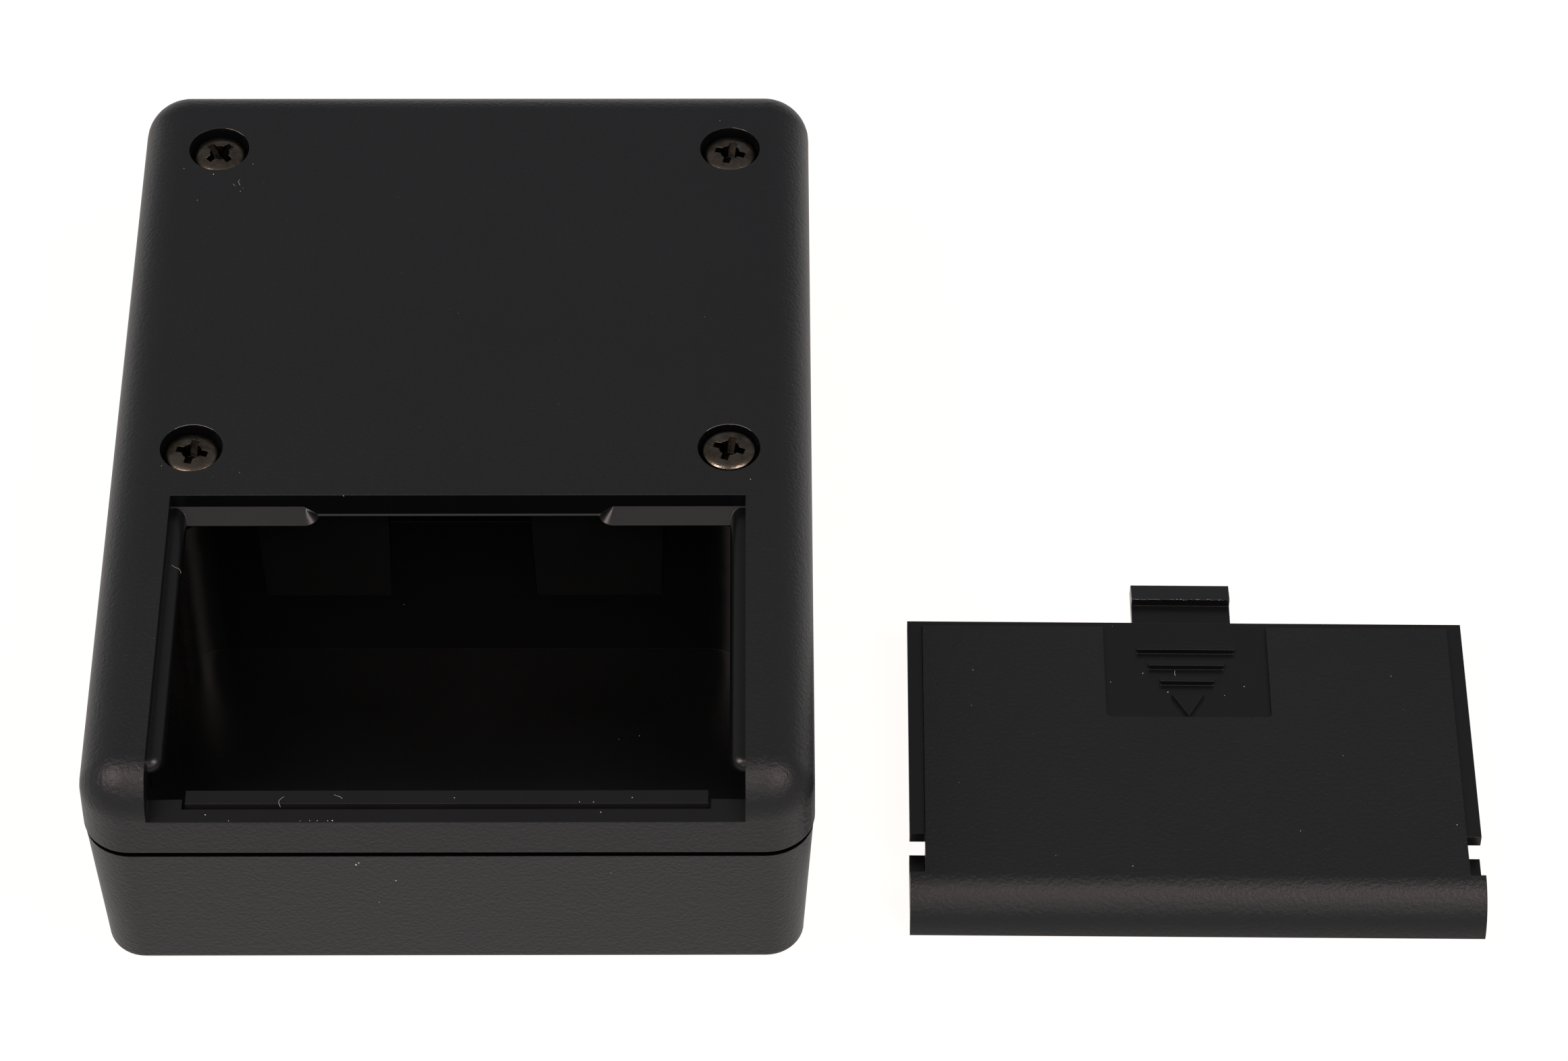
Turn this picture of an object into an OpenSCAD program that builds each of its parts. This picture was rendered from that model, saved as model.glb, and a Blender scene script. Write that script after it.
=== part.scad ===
// Handheld enclosure with a battery compartment: two half shells held by four screws,
// and a battery cover that slides in over the compartment and snaps behind its rim.
// The case lies on its front face, back up; the cover is off and lies on the table beside it.
// Millimetres. Origin at the centre of the front face, +X to the right,
// +Y away from the battery end, +Z out of the back.

/* [Case] */
// Width of the case at the joint between the shells
case_w = 78.4; // [74:0.1:90]
// Length of the case at the joint
case_l = 108; // [102:0.5:130]
// Height of the closed case
case_h = 30.5; // [28:0.5:40]
// Height of the back shell above the joint
back_h = 10.2; // [9.5:0.1:12]
// Radius of the upright corners at the joint
corner_r = 5.3; // [5:0.1:8]
// Radius of the edge round the back
back_edge_r = 5; // [3:0.1:5]
// Radius of the edge round the front face
front_edge_r = 1; // [0.4:0.1:2]
// Draft of the back shell's sides in degrees
back_draft = 0.5; // [0.2:0.1:1]
// Draft of the front shell's sides in degrees
front_draft = 3; // [1:0.25:4]
// Thickness of the side walls
wall = 1.8; // [1.5:0.1:2.2]
// Thickness of the back
back_t = 2.2; // [1.8:0.1:2.4]
// Thickness of the front face
front_t = 2.5; // [1.8:0.1:3.5]
// Height of the shadow gap round the joint
joint_gap = 0.6; // [0.2:0.05:0.6]
// Depth of the shadow gap
joint_gap_depth = 1; // [0.4:0.1:1.2]
// Room between one shell's ribs and the other shell
shell_clear = 0.3; // [0.2:0.05:0.5]
// How far the front shell is set in from the back shell at the joint
joint_step = 0.1; // [0:0.05:0.2]

/* [Battery opening] */
// Width of the opening
opening_w = 63.5; // [60:0.1:66]
// Length of the opening from the end of the case
opening_l = 42; // [38:0.5:48]
// Depth of the cut in the end wall that the cover's skirt fills
sill_depth = 5.15; // [4.5:0.05:6]
// Thickness of the end wall's pads at both ends of the cut
sill_pad_t = 3.2; // [2.6:0.1:4]
// Depth of the rim round the opening
rim_depth = 3.3; // [3:0.05:3.8]
// Thickness of the rim below the back
rim_t = 1.3; // [1:0.1:2]
// Depth of the side ledges that carry the cover
ledge_depth = 2; // [1.8:0.05:2.2]
// Width of the side ledges
ledge_w = 1.7; // [1.2:0.1:2]
// Distance of the ledges' rounded ends from the end of the case
ledge_setback = 5.2; // [5.1:0.1:7]
// Radius of the ledges' upper edge
ledge_edge_r = 1.2; // [0.2:0.1:1.2]
// Width of the sloped bands below the far edge, seen from above
band_w = 1.65; // [1:0.05:1.8]
// Height of the bands
band_h = 1.4; // [1:0.1:1.6]
// Width of the fine edge that joins the bands
seam_w = 0.2; // [0.1:0.05:0.3]
// Distance between the bands, where the latch passes
latch_gap = 34.2; // [32:0.2:40]
// Length of the thick land that the latch goes under
land_l = 4.6; // [3:0.1:6]
// Width of the tongues that hang from the rim, at their root
tongue_w = 14.7; // [12:0.1:17]
// Narrowing of a tongue from root to tip
tongue_taper = 0.8; // [0.2:0.1:1.2]
// Gap between the two tongues
tongue_gap = 15.8; // [14:0.1:18]
// Thickness of the tongues
tongue_t = 1.2; // [0.8:0.1:1.5]
// Depth of the tongues' tips below the back
tongue_depth = 17.3; // [12:0.1:19]
// How far the tongues stand behind the opening's far edge
tongue_setback = 0.4; // [0.2:0.1:0.8]

/* [Battery tub] */
// Inside width of the tub
tub_w = 64.6; // [62:0.1:65]
// Radius of the tub's upright corners
tub_r = 5; // [3:0.1:6]
// Radius round the tub's floor
tub_floor_r = 0.3; // [0.3:0.1:2]
// Thickness of the tub's walls
tub_wall = 1.4; // [1.1:0.1:1.6]
// Depth of the tub's rim below the back
tub_rim_depth = 6.4; // [6:0.1:8]
// Width of the locating rib behind the cut end wall
rib_w = 55.6; // [50:0.1:56]
// Thickness of the locating ribs
rib_t = 1.8; // [1.2:0.1:2]
// Gap between the cut end wall and the locating rib
rib_gap = 0.8; // [0.5:0.1:1]
// Height of the locating ribs on the other three sides, above the joint
lip_h = 2; // [1:0.1:3]
// Length that these ribs stay clear of the corners
lip_end = 14; // [10:1:20]

/* [Screws] */
// Distance of the screws from the case's sides
screw_inset = 9.3; // [8.6:0.1:11]
// Distance of the far screws from the far end
screw_far_inset = 11.5; // [9:0.1:16]
// Distance of the near screws behind the opening's far edge
screw_near_gap = 7.1; // [6.8:0.1:10]
// Diameter of the recess round a screw head
recess_d = 7; // [6.4:0.1:8]
// Depth of the recess
recess_depth = 3; // [2.4:0.1:3.6]
// Diameter of the screw heads
head_d = 5.9; // [5:0.1:6.2]
// Height of the screw heads
head_h = 2.5; // [1.8:0.1:2.6]
// Height of the domed top of a head
crown_h = 0.55; // [0.3:0.05:0.9]
// Diameter of the screws
screw_d = 2.9; // [2.2:0.1:3.1]
// Length of the screws below the head
screw_l = 16; // [13:0.5:18]
// Room round a screw in the back shell, in diameter
screw_clear = 0.5; // [0.3:0.05:0.7]
// Room round a screw in its post, in diameter
pilot_clear = 0.1; // [0.05:0.05:0.2]
// Diameter of the screw posts
post_d = 7; // [6:0.1:7.2]
// Wall left round and below a recess
recess_wall = 1.5; // [1.2:0.1:1.8]
// Span of the cross recess in a head
cross_span = 3.8; // [3:0.1:4.2]
// Width of the cross recess
cross_w = 0.85; // [0.7:0.05:1.2]
// Depth of the cross recess
cross_depth = 1.5; // [0.8:0.1:1.6]
// Diameter of the cone in the middle of the cross recess
cross_cone_d = 2.3; // [1.6:0.1:2.6]

/* [Circuit board posts] */
// Diameter of the posts
board_post_d = 5; // [4:0.1:6]
// Height of the posts above the inside of the front
board_post_h = 4; // [2:0.5:8]
// Diameter of the blind holes in them
board_hole_d = 2; // [1.6:0.1:2.4]
// Distance of the posts from the screws, along both sides of the case
board_inset = 8; // [7:0.5:10]

/* [Cover] */
// Room between the cover and the opening's sides and sill
cover_clear = 0.1; // [0.1:0.05:0.3]
// Room between the cover and the opening's far edge
rear_clear = 0.4; // [0.2:0.05:0.6]
// Drop of the flange below the cover's top
flange_drop = 0.5; // [0.3:0.05:0.7]
// Width of the side flanges
flange_w = 1.7; // [1.5:0.1:2.2]
// Width of the rear flange
rear_flange_w = 1; // [0.6:0.1:2]
// Distance from the skirt's round to the flanges' near ends
notch_l = 5.7; // [5.4:0.1:8]
// Length of the ears behind the skirt's round
ear_l = 4.9; // [4:0.1:5.4]
// Thickness of the ears
ear_t = 1.2; // [0.8:0.1:1.3]
// Room between ears, latch and what they go under
catch_clear = 0.1; // [0.05:0.05:0.2]
// Thickness of the skirt
skirt_t = 1.8; // [1.4:0.1:2.2]
// Thickness of the webs that carry the ears
web_t = 1.3; // [1:0.1:2]
// Width of the latch
latch_w = 11.3; // [8:0.1:13]
// Height of the latch's ridge
ridge_h = 1.1; // [0.8:0.05:1.1]
// Length of the slope behind the ridge
ridge_slope_l = 2.65; // [2:0.05:4]
// Drop of this slope
ridge_slope_h = 0.6; // [0.3:0.05:0.7]
// Length of the steeper lead-in at the latch's tip
lead_l = 0.5; // [0.3:0.1:1]
// Length of the block that carries the latch
latch_root_l = 3; // [2:0.1:5]

/* [Grip] */
// Width of the sunk grip panel
grip_w = 18.6; // [14:0.1:24]
// Length of the grip panel from the cover's rear edge
grip_l = 14.3; // [14:0.1:20]
// Radius of the panel's corners
grip_r = 0.6; // [0.3:0.1:1.5]
// Distance of the first rib from the cover's rear edge
grip_start = 4.3; // [3:0.1:4.4]
// Distance between ribs
grip_pitch = 2.33; // [2:0.01:2.4]
// Width of a rib
grip_rib_w = 0.6; // [0.5:0.05:1]
// Height of the ribs
grip_rib_h = 0.7; // [0.3:0.05:0.8]
// Length of the first rib
grip_rib_l = 11.2; // [8:0.1:13]
// How much shorter each next rib is
grip_rib_step = 2.5; // [1:0.1:3]
// Width of the arrow
arrow_w = 3.7; // [2:0.1:5]
// Length of the arrow
arrow_l = 3.2; // [2:0.1:3.4]
// Height of the arrow
arrow_h = 0.45; // [0.2:0.05:0.5]

/* [Cover on the table] */
// Distance of the cover's middle from the case's middle
cover_x = 81.4; // [75:0.1:120]
// Distance of the cover's end face from the case's middle
cover_y = -50.1; // [-80:0.1:-20]
// Turn of the cover on the table in degrees
cover_turn = -0.6; // [-10:0.1:10]

/* [Hidden] */
$fn = 96;

over = 1;              // overrun of cutting shapes
bond = 0.5;            // overlap of a rib with the wall that it grows from
grip_rib_count = 3;
cross_turns = [44, -16, -13, -18];
head_lifts = [0, 0, 0, 0.5];       // the last screw isn't driven home

plastic = "#1d1d1f";
screw_metal = "#5a5048";

end_y = -case_l / 2;
rim_y = end_y + opening_l;
joint_z = case_h - back_h;
sill_z = case_h - sill_depth;
ledge_z = case_h - ledge_depth;
rim_z = case_h - rim_depth;
back_inside_z = case_h - back_t;

screw_x = case_w / 2 - screw_inset;
screw_near_y = rim_y + screw_near_gap;
screw_far_y = case_l / 2 - screw_far_inset;
screw_places = [
    [-screw_x, screw_far_y], [screw_x, screw_far_y],
    [-screw_x, screw_near_y], [screw_x, screw_near_y]
];
seat_z = case_h - recess_depth;
pilot_d = screw_d + pilot_clear;

tub_far_y = rim_y + tongue_setback + tongue_t + rib_gap / 4;
tub_near_y = end_y + wall + rib_gap + rib_t;
tub_top_z = case_h - tub_rim_depth;
front_w = case_w - 2 * joint_step;
front_l = case_l - 2 * joint_step;

round_y = end_y + back_edge_r;                  // where the back's flat meets the end's round
cover_rear_y = rim_y - rear_clear;
cover_w = opening_w - 2 * cover_clear;
plate_w = cover_w - 2 * flange_w;
skirt_z = sill_z + cover_clear;
ear_z = rim_z - catch_clear;
flange_z = case_h - flange_drop;
ridge_y = rim_y + land_l + catch_clear;
ridge_z = ear_z + min(ridge_h, rim_depth - back_t);     // the ridge stays below the back's inside

// Half section of a wall and its rounded edge: reach is the distance from the corner's axis
// to the wall at the joint, and the wall leans in by the draft
module edge_profile(reach, h, edge_r, draft) {
    r = min(edge_r, reach - h * tan(draft) - 0.05);
    cz = h - r;
    cu = reach - cz * tan(draft) - r / cos(draft);
    polygon([
        [0, 0], [reach, 0], [cu + r * cos(draft), cz + r * sin(draft)],
        [cu, cz], [cu, h], [0, h]
    ]);
    translate([cu, cz])
        intersection() {
            circle(r = r);
            square(r);
        }
}

// Box standing on z = 0 with drafted sides, round upright corners and a round upper edge
module drafted_box(w, l, h, corner, edge_r, draft) {
    cx = w / 2 - corner;
    cy = l / 2 - corner;
    translate([-cx, -cy, 0])
        cube([2 * cx, 2 * cy, h]);
    for (turn = [0, 180])
        rotate(turn) {
            translate([cx, cy, 0])
                rotate([90, 0, 0])
                    linear_extrude(2 * cy) edge_profile(corner, h, edge_r, draft);
            translate([-cx, cy, 0])
                rotate([90, 0, 90])
                    linear_extrude(2 * cx) edge_profile(corner, h, edge_r, draft);
            translate([cx, cy, 0])
                rotate_extrude(angle = 90) edge_profile(corner, h, edge_r, draft);
            translate([-cx, cy, 0])
                rotate(90)
                    rotate_extrude(angle = 90) edge_profile(corner, h, edge_r, draft);
        }
}

// Upright slab with round corners, between two ends along Y
module slab(w, y0, y1, z0, z1, r) {
    translate([-w / 2 + r, y0, z0])
        cube([w - 2 * r, y1 - y0, z1 - z0]);
    translate([-w / 2, y0 + r, z0])
        cube([w, y1 - y0 - 2 * r, z1 - z0]);
    for (x = [-w / 2 + r, w / 2 - r], y = [y0 + r, y1 - r])
        translate([x, y, z0])
            cylinder(r = r, h = z1 - z0);
}

// Plain block centred on x = 0
module block(w, y0, y1, z0, z1) {
    translate([-w / 2, y0, z0])
        cube([w, y1 - y0, z1 - z0]);
}

module at_screws() {
    for (place = screw_places)
        translate([place[0], place[1], 0]) children();
}

module at_board_posts() {
    for (x = [-screw_x + board_inset, screw_x - board_inset],
         y = [screw_near_y + board_inset, screw_far_y - board_inset])
        translate([x, y, 0]) children();
}

// Front shell: hollow lower half, open at the joint
module front_hull() {
    inside_w = front_w - 2 * wall;
    inside_l = front_l - 2 * wall;
    difference() {
        translate([0, 0, joint_z])
            mirror([0, 0, 1])
                drafted_box(front_w, front_l, joint_z, corner_r - joint_step, front_edge_r, front_draft);
        translate([0, 0, joint_z + over])
            mirror([0, 0, 1])
                drafted_box(inside_w, inside_l, joint_z + over - front_t,
                            corner_r - joint_step - wall, front_edge_r, front_draft);
        difference() {
            block(case_w + 2 * over, end_y - over, -end_y + over, joint_z - joint_gap, joint_z + over);
            slab(front_w - 2 * joint_gap_depth, end_y + joint_step + joint_gap_depth,
                 -end_y - joint_step - joint_gap_depth, joint_z - joint_gap - over, joint_z + 2 * over,
                 corner_r - joint_step - joint_gap_depth);
        }
    }
}

// Walls of the battery tub: full length below the joint, clear of the back shell's pads above it
module tub_walls() {
    outer_w = tub_w + 2 * tub_wall;
    outer_r = tub_r + tub_wall;
    slab(outer_w, end_y + wall, tub_far_y + tub_wall, front_t - bond, joint_z - joint_gap, outer_r);
    slab(outer_w, end_y + sill_pad_t + shell_clear, tub_far_y + tub_wall, front_t - bond, tub_top_z, outer_r);
}

// Room in the tub, open at the near end above the joint, where rib and pads close it
module tub_space() {
    mid_y = (tub_near_y + tub_far_y) / 2;
    h = case_h - front_t;
    translate([0, mid_y, case_h])
        mirror([0, 0, 1])
            drafted_box(tub_w, tub_far_y - tub_near_y, h, tub_r, tub_floor_r, back_draft);
    block(tub_w, end_y + wall, tub_near_y + tub_r, joint_z - joint_gap, case_h);
}

// Locating rib along X, measured from the case's outer face at y = 0: its root is set into
// the front shell's wall, its upper part stands clear of the back shell's wall
module lip(length) {
    outer = wall + shell_clear;
    root_z = joint_z - 2 * lip_h;
    translate([-length / 2, 0, 0])
        rotate([90, 0, 90])
            linear_extrude(length)
                polygon([
                    [wall - bond, root_z], [outer + rib_t, root_z], [outer + rib_t, joint_z + lip_h],
                    [outer, joint_z + lip_h], [outer, joint_z - joint_gap], [wall - bond, joint_z - joint_gap]
                ]);
}

// Ribs that stand up inside the back shell's walls and locate it
module locating_ribs() {
    lip_y0 = tub_far_y + lip_end;
    lip_y1 = case_l / 2 - wall - lip_end;
    block(rib_w, end_y + wall + rib_gap, tub_near_y, front_t, sill_z);
    for (side = [-1, 1])
        translate([side * case_w / 2, (lip_y0 + lip_y1) / 2, 0])
            rotate(side * 90)
                lip(lip_y1 - lip_y0);
    translate([0, case_l / 2, 0])
        rotate(180)
            lip(case_w - 2 * wall - 2 * lip_end);
}

// Screw posts with a web to the side wall
module screw_posts() {
    at_screws() {
        translate([0, 0, front_t - bond])
            cylinder(d = post_d, h = joint_z - front_t + bond);
    }
    web_end = case_w / 2 - wall;
    for (side = [-1, 1], y = [screw_near_y, screw_far_y])
        translate([side * (screw_x + web_end) / 2, 0, 0])
            block(web_end - screw_x, y - rib_t / 2, y + rib_t / 2, front_t - bond, joint_z - 2 * lip_h);
    for (side = [-1, 1])
        translate([side * screw_x, 0, 0])
            block(rib_t, tub_far_y - tub_r, screw_near_y, front_t - bond, joint_z - 2 * lip_h);
}

module front_shell() {
    pilot_l = screw_l - (seat_z - joint_z) + rib_t;
    color(plastic) {
        difference() {
            union() {
                front_hull();
                tub_walls();
                screw_posts();
                at_board_posts()
                    translate([0, 0, front_t - bond])
                        cylinder(d = board_post_d, h = board_post_h + bond);
            }
            tub_space();
            at_screws()
                translate([0, 0, joint_z - pilot_l])
                    cylinder(d = pilot_d, h = pilot_l + over);
            at_board_posts()
                translate([0, 0, front_t])
                    cylinder(d = board_hole_d, h = board_post_h + over);
        }
        locating_ribs();
    }
}

// Back shell: hollow upper half, open at the joint
module back_hull() {
    difference() {
        translate([0, 0, joint_z])
            drafted_box(case_w, case_l, back_h, corner_r, back_edge_r, back_draft);
        translate([0, 0, joint_z - over])
            drafted_box(case_w - 2 * wall, case_l - 2 * wall, back_h - back_t + over,
                        corner_r - wall, back_edge_r - wall, back_draft);
    }
}

// Rim below the back on three sides of the opening, the latch's land and the end wall's pads
module opening_frame() {
    pad_in = rib_w / 2 + shell_clear;
    pad_out = opening_w / 2 + rim_t;
    for (side = [-1, 1]) {
        translate([side * (opening_w + rim_t) / 2, 0, 0])
            block(rim_t, end_y + wall, rim_y + rim_t, rim_z, back_inside_z + bond);
        translate([side * (pad_in + pad_out) / 2, 0, 0])
            block(pad_out - pad_in, end_y + wall - bond, end_y + sill_pad_t, joint_z, back_inside_z + bond);
    }
    block(opening_w + 2 * rim_t, rim_y, rim_y + rim_t, rim_z, back_inside_z + bond);
    block(latch_gap, rim_y, rim_y + land_l, rim_z, back_inside_z + bond);
}

module opening_cut() {
    block(opening_w, end_y - over, rim_y, sill_z, case_h + over);
}

// Section of a side ledge, out from the opening's wall
module ledge_profile() {
    t = rim_depth - ledge_depth;
    r = min(ledge_edge_r, t - 0.1, ledge_w - 0.3);
    square([ledge_w - r, t]);
    square([ledge_w, t - r]);
    translate([ledge_w - r, t - r])
        intersection() {
            circle(r = r);
            square(r);
        }
}

module ledge() {
    tip_y = end_y + ledge_setback + ledge_w;
    translate([-opening_w / 2, rim_y, rim_z])
        rotate([90, 0, 0])
            linear_extrude(rim_y - tip_y) ledge_profile();
    translate([-opening_w / 2, tip_y, rim_z])
        rotate(-90)
            rotate_extrude(angle = 90) ledge_profile();
}

// Sloped band below the far edge, with a conical end beside the latch
module band() {
    translate([-opening_w / 2, rim_y, rim_z])
        rotate([90, 0, 90])
            linear_extrude((opening_w - latch_gap) / 2)
                polygon([[0, 0], [-band_w, 0], [0, band_h]]);
    translate([-latch_gap / 2, rim_y, rim_z])
        rotate(-90)
            rotate_extrude(angle = 90)
                polygon([[0, 0], [band_w, 0], [0, band_h]]);
}

// Fine edge along the foot of the far wall, from band to band
module seam() {
    translate([-latch_gap / 2, rim_y, rim_z])
        rotate([90, 0, 90])
            linear_extrude(latch_gap)
                polygon([[0, 0], [-seam_w, 0], [0, seam_w]]);
}

module tongue() {
    root = tongue_w / 2;
    tip = (tongue_w - tongue_taper) / 2;
    translate([(tongue_gap + tongue_w) / 2, rim_y + tongue_setback + tongue_t, case_h])
        rotate([90, 0, 0])
            linear_extrude(tongue_t)
                polygon([
                    [-root, -back_t], [root, -back_t],
                    [tip, -tongue_depth], [-tip, -tongue_depth]
                ]);
}

module back_shell() {
    color(plastic) {
        difference() {
            union() {
                back_hull();
                opening_frame();
                at_screws() {
                    translate([0, 0, joint_z])
                        cylinder(d = post_d, h = back_h - back_t + bond);
                    translate([0, 0, seat_z - recess_wall])
                        cylinder(d = recess_d + 2 * recess_wall, h = recess_depth + recess_wall - back_t + bond);
                }
            }
            opening_cut();
            at_screws() {
                translate([0, 0, seat_z])
                    cylinder(d = recess_d, h = recess_depth + over);
                translate([0, 0, joint_z - over])
                    cylinder(d = screw_d + screw_clear, h = back_h);
            }
        }
        for (side = [0, 1])
            mirror([side, 0, 0]) {
                ledge();
                band();
                tongue();
            }
        seam();
    }
}

// Cover in its closed place
module cover_plate() {
    difference() {
        union() {
            block(cover_w, round_y + notch_l, cover_rear_y, ledge_z, flange_z);
            block(plate_w, round_y, cover_rear_y, ledge_z, flange_z);
            block(plate_w, round_y, cover_rear_y - rear_flange_w, ledge_z, case_h);
        }
        slab(grip_w, cover_rear_y - grip_l, cover_rear_y + over, flange_z, case_h + over, grip_r);
    }
}

// Skirt that completes the end wall and its round
module cover_skirt() {
    reach = back_edge_r + skirt_t;
    translate([-cover_w / 2, end_y + reach, joint_z])
        rotate([90, 0, 90])
            linear_extrude(cover_w)
                intersection() {
                    mirror([1, 0])
                        difference() {
                            edge_profile(reach, back_h, back_edge_r, back_draft);
                            edge_profile(reach - skirt_t, back_h - skirt_t, back_edge_r - skirt_t, back_draft);
                        }
                    translate([-reach, skirt_z - joint_z])
                        square([back_edge_r, back_h]);
                }
}

// Ear that goes under a ledge, with the web that joins it to plate and skirt
module ear() {
    ear_y = end_y + skirt_t / 2;
    web_y = end_y + skirt_t;
    tip_y = round_y + ear_l;
    inner_x = plate_w / 2 - web_t;
    translate([inner_x, ear_y, ear_z - ear_t])
        cube([cover_w / 2 - inner_x, tip_y - ear_y, ear_t]);
    translate([inner_x, web_y, ear_z - ear_t])
        cube([web_t, tip_y - web_y, ledge_z + bond - ear_z + ear_t]);
}

// Latch: a springy arm below the plate with a ridge that snaps behind the land
module latch() {
    root_y = cover_rear_y - latch_root_l;
    slope_y = ridge_y + ridge_slope_l;
    tip_y = slope_y + lead_l;
    tip_z = ear_z - lead_l / 2;
    translate([-latch_w / 2, 0, 0])
        rotate([90, 0, 90])
            linear_extrude(latch_w)
                polygon([
                    [root_y, ledge_z + bond], [root_y, skirt_z], [tip_y, skirt_z], [tip_y, tip_z],
                    [slope_y, ridge_z - ridge_slope_h], [ridge_y, ridge_z], [ridge_y, ear_z],
                    [cover_rear_y, ear_z], [cover_rear_y, ledge_z + bond]
                ]);
}

module grip_marks() {
    for (i = [0 : grip_rib_count - 1])
        translate([0, cover_rear_y - grip_start - i * grip_pitch, flange_z - bond])
            slab(grip_rib_l - i * grip_rib_step, -grip_rib_w / 2, grip_rib_w / 2,
                 0, bond + grip_rib_h, 0.45 * grip_rib_w);
    translate([0, cover_rear_y - grip_start - grip_rib_count * grip_pitch, flange_z - bond])
        linear_extrude(bond + arrow_h)
            polygon([[-arrow_w / 2, grip_rib_w / 2], [0, grip_rib_w / 2 - arrow_l], [arrow_w / 2, grip_rib_w / 2]]);
}

module closed_cover() {
    cover_plate();
    cover_skirt();
    for (side = [0, 1])
        mirror([side, 0, 0]) ear();
    latch();
    grip_marks();
}

module battery_cover() {
    color(plastic)
        translate([cover_x, cover_y, 0])
            rotate(cover_turn)
                translate([0, -end_y, -skirt_z])
                    closed_cover();
}

// Cross recess cut down from z = 0: two wings with sloped ends and a cone in the middle
module cross_recess() {
    top = cross_span / 2;
    foot = cross_cone_d / 4;
    for (turn = [0, 90])
        rotate(turn)
            translate([0, cross_w / 2, 0])
                rotate([90, 0, 0])
                    linear_extrude(cross_w)
                        polygon([[-top, over], [-top, 0], [-foot, -cross_depth],
                                 [foot, -cross_depth], [top, 0], [top, over]]);
    translate([0, 0, -cross_depth])
        cylinder(d1 = cross_w, d2 = cross_cone_d, h = cross_depth);
}

// Pan head tapping screw standing on its tip, head seat at z = 0
module screw() {
    rim_r = head_d / 2;
    rim_h = head_h - crown_h;
    difference() {
        rotate_extrude()
            polygon(concat(
                [[0, -screw_l], [screw_d / 2, screw_d - screw_l], [screw_d / 2, 0], [rim_r, 0]],
                [for (a = [0 : 10 : 90]) [rim_r * cos(a), rim_h + crown_h * sin(a)]]
            ));
        translate([0, 0, head_h])
            cross_recess();
    }
}

module case_screws() {
    color(screw_metal)
        for (i = [0 : len(screw_places) - 1])
            translate([screw_places[i][0], screw_places[i][1], seat_z + head_lifts[i]])
                rotate(cross_turns[i])
                    screw();
}

front_shell();
back_shell();
battery_cover();
case_screws();
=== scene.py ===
"""Looks of the handheld enclosure: moulded black plastic with a fine grain, dull screws and a little dust."""

import math

import bmesh
import bpy
from mathutils import Matrix, Vector


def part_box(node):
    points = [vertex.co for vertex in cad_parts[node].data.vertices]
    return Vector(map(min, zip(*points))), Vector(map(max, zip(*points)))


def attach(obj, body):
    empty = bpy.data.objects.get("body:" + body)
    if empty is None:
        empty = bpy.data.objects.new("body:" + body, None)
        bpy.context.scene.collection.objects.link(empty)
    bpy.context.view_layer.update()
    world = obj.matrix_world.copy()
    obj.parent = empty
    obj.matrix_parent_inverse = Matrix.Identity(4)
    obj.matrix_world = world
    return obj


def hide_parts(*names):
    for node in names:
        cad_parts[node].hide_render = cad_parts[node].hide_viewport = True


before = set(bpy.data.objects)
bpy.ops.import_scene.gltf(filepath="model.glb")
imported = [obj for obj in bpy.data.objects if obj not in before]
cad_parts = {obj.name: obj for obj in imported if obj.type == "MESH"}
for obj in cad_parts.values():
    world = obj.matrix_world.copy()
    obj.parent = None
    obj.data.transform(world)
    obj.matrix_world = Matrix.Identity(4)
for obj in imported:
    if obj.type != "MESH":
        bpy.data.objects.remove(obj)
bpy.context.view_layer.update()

MM = 0.001
SHARP_ANGLE = math.radians(28)         # edges that turn by more than this stay sharp
NEAR = 0.01 * MM                       # heights that differ by less than this count as the same
MERGE_DISTANCE = 0.002 * MM            # corners of a CAD mesh that are nearer than this are one
TINY_EDGE = 0.0001 * MM                # edges shorter than this are taken out
FLAT_UP = 0.99                         # least upright part of a flat face's normal

# Heights on the CAD solids
JOINT_Z = 20.3 * MM
FRONT_TOP_Z = 19.7 * MM                # front shell's upper edge, at the bottom of the shadow gap
COVER_PLATE_Z = 5.05 * MM
TUB_FLOOR_Z = 2.5 * MM
TUB_FLOOR_R = 0.3 * MM                 # radius round the tub's floor

JOINT_EXTRA = 0.25 * MM                # what the shadow gap is wider than on the solids
ABOVE_JOINT = 0.2 * MM                 # surfaces that start higher than this over the joint line the opening
GROOVE_Y = -51.0 * MM                  # the groove behind the cut end wall lies nearer than this
GROOVE_RISE = 1.0 * MM                 # and rises higher than this over the joint

FAR_ROW_Y = 20.0 * MM                  # the far pair of screws lies beyond this
SCREW_TURNS = (44, -16, -13, -18)      # degrees: far left, far right, near left, near right
CROSS_REACH = 2.2 * MM                 # of a screw's cross recess from the screw's axis
CROSS_DEPTH = 2.2 * MM
RECESS_R = 3.5 * MM                    # of the recess round each screw head

# Material slots of a moulding
OUTSIDE, OPENING, BELOW, GROOVE = range(4)

PLASTIC_IOR = 1.345
METAL_GRAIN = (0.25, 1800.0, 0.12 * MM)
METAL_FILM = (600.0, 1.0)
METAL_CONTRAST = (0.38, 0.66)

# Camera fitted to the photograph
CAMERA_PLACE = (32.82, -405.49, 468.40)      # millimetres
CAMERA_ANGLES = (48.441, 0.464, 0.284)       # downward pitch, turn and roll in degrees
CAMERA_LENS = 122.44
SENSOR_WIDTH = 36.0

FLOOR_HALF = 6.0
FLOOR_COLOUR = (0.05, 0.05, 0.05, 1)
FLOOR_GLOW = (1.0, 0.955, 0.935, 1)
SKY_COLOUR = (0.90, 0.93, 1.0, 1)
SKY_STRENGTH = 0.43
SOFTBOX_TINT = (1.0, 0.89, 0.85)
LAMP_TINT = (1.0, 0.84, 0.78)

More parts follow.
